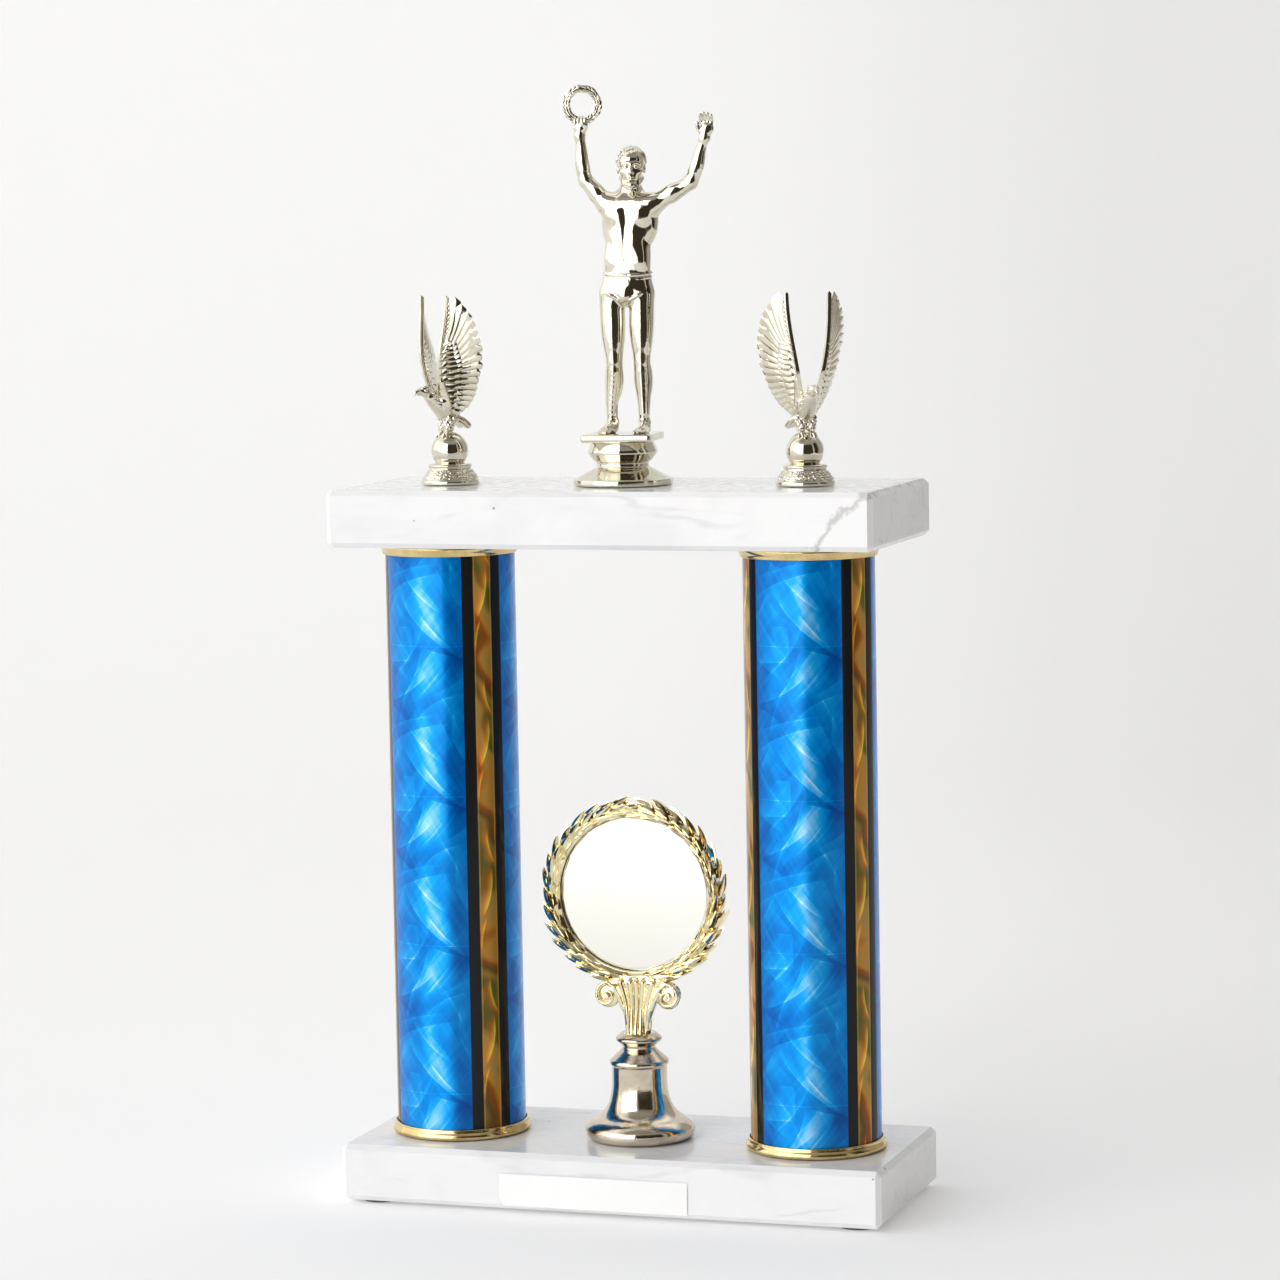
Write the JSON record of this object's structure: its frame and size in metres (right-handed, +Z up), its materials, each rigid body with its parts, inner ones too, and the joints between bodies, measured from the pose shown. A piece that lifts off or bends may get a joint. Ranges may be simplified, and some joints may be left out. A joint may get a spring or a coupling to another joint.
{
  "type": "two-column victory trophy",
  "caption": "Two-tier trophy: marble slabs on foil-wrapped columns, a victory figure and eagles on top, a wreath holder with a blank disc below.",
  "frame": {"origin": "on the table, under the middle of the marble base", "axes": "+Z up, front towards -Y, +X to the right as seen from the front"},
  "size_m": [0.2184, 0.0875, 0.4337],
  "materials": {
    "marble": "polished white marble with faint grey veins",
    "pad": "matt black",
    "label": "uncoated blank paper",
    "foil": "blue holographic foil with black and gold stripes",
    "cardboard": "spiral-wound grey-brown board",
    "cap_brass": "bright brass",
    "champagne": "metallised plastic, mirror-bright champagne gold",
    "gold": "metallised plastic, mirror-bright gold",
    "nickel_bronze": "metallised plastic, darker nickel-bronze mirror with fine pits",
    "disc": "pale gold anodised mirror disc",
    "steel": "zinc-plated threaded hardware"
  },
  "bodies": {
    "stand": {"base_slab": "marble", "top_slab": "marble", "base_pad_front_left": "pad", "base_pad_front_right": "pad", "base_pad_back_left": "pad", "base_pad_back_right": "pad", "front_label": "label", "left_column_wrap": "foil", "right_column_wrap": "foil", "left_column_tube": "cardboard", "right_column_tube": "cardboard", "left_column_base_cap": "cap_brass", "left_column_top_cap": "cap_brass", "right_column_base_cap": "cap_brass", "right_column_top_cap": "cap_brass", "left_column_rod": "steel", "left_column_rod_nut": "steel", "left_column_rod_washer": "steel", "right_column_rod": "steel", "right_column_rod_nut": "steel", "right_column_rod_washer": "steel", "figure_rod": "steel", "figure_rod_nut": "steel", "figure_rod_washer": "steel", "holder_rod": "steel", "holder_rod_nut": "steel", "holder_rod_washer": "steel"},
    "figure": {"victory_figure": "champagne", "figure_riser": "champagne", "figure_nut": "steel"},
    "eagle_left": {"left_eagle": "champagne", "left_eagle_nut": "steel"},
    "eagle_right": {"right_eagle": "champagne", "right_eagle_nut": "steel"},
    "wreath": {"wreath_holder": "gold", "insert_disc": "disc", "bell_riser": "nickel_bronze"}
  },
  "joints": [
    {"name": "figure_turn", "type": "hinge", "parent": "stand", "child": "figure", "pos_m": [-0.00095, -0.0035, 0.2799], "axis": [0, 0, 1], "continuous": true},
    {"name": "left_eagle_turn", "type": "hinge", "parent": "stand", "child": "eagle_left", "pos_m": [-0.0722, -0.0035, 0.2799], "axis": [0, 0, 1], "continuous": true},
    {"name": "right_eagle_turn", "type": "hinge", "parent": "stand", "child": "eagle_right", "pos_m": [0.0722, -0.0035, 0.2799], "axis": [0, 0, 1], "continuous": true},
    {"name": "wreath_turn", "type": "hinge", "parent": "stand", "child": "wreath", "pos_m": [0.0014, -0.0035, 0.0237], "axis": [0, 0, 1], "continuous": true}
  ]
}
